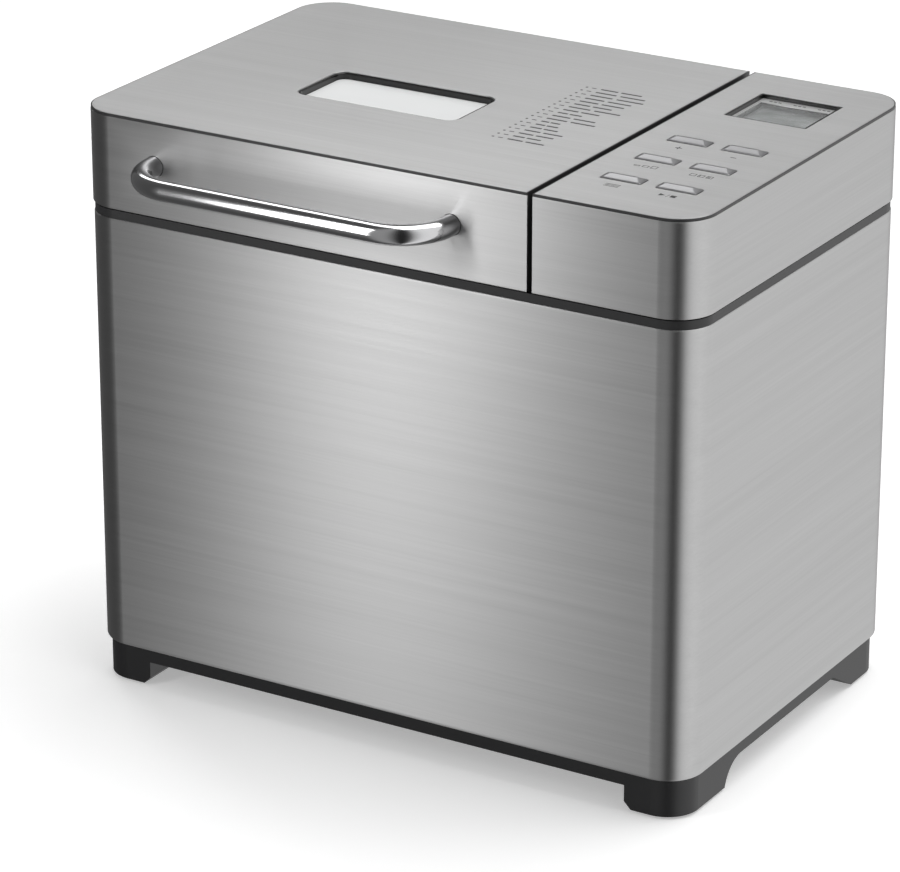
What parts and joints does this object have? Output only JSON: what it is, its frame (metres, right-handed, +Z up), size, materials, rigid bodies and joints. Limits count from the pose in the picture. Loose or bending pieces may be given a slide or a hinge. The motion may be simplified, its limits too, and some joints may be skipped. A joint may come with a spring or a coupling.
{
  "type": "bread machine",
  "caption": "Free-standing bread machine: steel body, hinged lid with window and bar handle, key panel with screen, lift-out baking pan with a belt-driven paddle.",
  "frame": {"origin": "under the middle of the whole object, on the surface that it stands on", "axes": "+X to the machine's right, +Y to its back, +Z up"},
  "size_m": [0.362, 0.273, 0.323],
  "materials": {
    "brushed_steel": "fine horizontal brushing, satin",
    "black_plastic": "satin moulded",
    "chrome_bar": "polished",
    "key_chrome": "satin plated",
    "clear_glass": "clear tempered",
    "chamber_steel": "plain pressed sheet",
    "zinc_sheet": "zinc coated",
    "pan_coating": "non-stick coating on aluminium",
    "machined_steel": "turned",
    "bronze": "sintered",
    "rubber": "matt",
    "silicone": "heat resistant, matt",
    "ceramic": "unglazed",
    "element_sheath": "oxidised sheath",
    "circuit_board": "solder mask",
    "screen_grey": "liquid crystal display",
    "screen_trim": "silvered",
    "nylon": "glass filled"
  },
  "bodies": {
    "machine": {"base_tray": "black_plastic", "rubber_feet": "rubber", "chassis_plate": "zinc_sheet", "base_screws": "machined_steel", "body_wrap": "brushed_steel", "back_panel": "brushed_steel", "deck": "black_plastic", "hinge_posts": "black_plastic", "oven_chamber": "chamber_steel", "chamber_posts": "zinc_sheet", "heat_shield": "zinc_sheet", "heating_element": "element_sheath", "element_insulators": "ceramic", "temperature_sensor": "machined_steel", "bearing_block": "zinc_sheet", "shaft_bushes": "bronze", "pan_clips": "machined_steel", "drive_belt": "rubber", "motor_bracket": "zinc_sheet", "motor_housing": "zinc_sheet", "power_board": "circuit_board", "cord_gland": "black_plastic", "panel_wrap": "brushed_steel", "panel_frame": "black_plastic", "panel_top_plate": "brushed_steel", "screen_frame": "screen_trim", "screen_lens": "clear_glass", "screen_module": "screen_grey", "control_board": "circuit_board", "key_switches": "black_plastic", "buzzer": "black_plastic"},
    "lid": {"lid_wrap": "brushed_steel", "lid_frame": "black_plastic", "lid_top_plate": "brushed_steel", "window_frame": "black_plastic", "window_glass": "clear_glass", "inner_glass": "clear_glass", "lid_liner": "chamber_steel", "lid_seal": "silicone", "handle_bar": "chrome_bar", "handle_screws": "machined_steel", "hinge_pins": "machined_steel"},
    "pan": {"pan_shell": "pan_coating", "pan_foot": "pan_coating", "pan_bush": "bronze"},
    "pan_drive": {"pan_shaft": "machined_steel", "pan_coupler": "machined_steel"},
    "bail": {"pan_bail": "machined_steel"},
    "paddle": {"kneading_paddle": "pan_coating"},
    "drive": {"output_shaft": "machined_steel", "driven_pulley": "nylon"},
    "motor": {"motor_rotor": "machined_steel", "motor_pulley": "machined_steel", "motor_fan": "nylon"},
    "key_plus": {"key_plus": "key_chrome"},
    "key_minus": {"key_minus": "key_chrome"},
    "key_size": {"key_size": "key_chrome"},
    "key_crust": {"key_crust": "key_chrome"},
    "key_menu": {"key_menu": "key_chrome"},
    "key_start": {"key_start": "key_chrome"}
  },
  "joints": [
    {"name": "lid_hinge", "type": "hinge", "parent": "machine", "child": "lid", "pos_m": [-0.0475, 0.129, 0.2795], "axis": [-1, 0, 0], "range_deg": [0, 95]},
    {"name": "pan_lift", "type": "slide", "parent": "machine", "child": "pan", "axis": [0, 0, 1], "range_m": [0, 0.02]},
    {"name": "bail_swing", "type": "hinge", "parent": "pan", "child": "bail", "pos_m": [-0.046, 0.0165, 0.2025], "axis": [-1, 0, 0], "range_deg": [0, 180]},
    {"name": "pan_drive_spin", "type": "hinge", "parent": "pan", "child": "pan_drive", "pos_m": [-0.046, 0.0165, 0.06], "axis": [0, 0, 1], "continuous": true},
    {"name": "paddle_lift", "type": "slide", "parent": "pan_drive", "child": "paddle", "axis": [0, 0, 1], "range_m": [0, 0.03]},
    {"name": "drive_spin", "type": "hinge", "parent": "machine", "child": "drive", "pos_m": [-0.046, 0.0165, 0.04], "axis": [0, 0, 1], "continuous": true},
    {"name": "motor_spin", "type": "hinge", "parent": "machine", "child": "motor", "pos_m": [0.127, 0.0165, 0.07], "axis": [0, 0, 1], "continuous": true},
    {"name": "key_plus_press", "type": "slide", "parent": "machine", "child": "key_plus", "axis": [0, 0, -1], "range_m": [0, 0.0012], "stiffness_N_per_m": 400, "springref_m": -0.002},
    {"name": "key_minus_press", "type": "slide", "parent": "machine", "child": "key_minus", "axis": [0, 0, -1], "range_m": [0, 0.0012], "stiffness_N_per_m": 400, "springref_m": -0.002},
    {"name": "key_size_press", "type": "slide", "parent": "machine", "child": "key_size", "axis": [0, 0, -1], "range_m": [0, 0.0012], "stiffness_N_per_m": 400, "springref_m": -0.002},
    {"name": "key_crust_press", "type": "slide", "parent": "machine", "child": "key_crust", "axis": [0, 0, -1], "range_m": [0, 0.0012], "stiffness_N_per_m": 400, "springref_m": -0.002},
    {"name": "key_menu_press", "type": "slide", "parent": "machine", "child": "key_menu", "axis": [0, 0, -1], "range_m": [0, 0.0012], "stiffness_N_per_m": 400, "springref_m": -0.002},
    {"name": "key_start_press", "type": "slide", "parent": "machine", "child": "key_start", "axis": [0, 0, -1], "range_m": [0, 0.0012], "stiffness_N_per_m": 400, "springref_m": -0.002}
  ],
  "couplings": [
    {"joint": "pan_drive_spin", "follows": "drive_spin", "ratio": 1},
    {"joint": "motor_spin", "follows": "drive_spin", "ratio": 6}
  ]
}
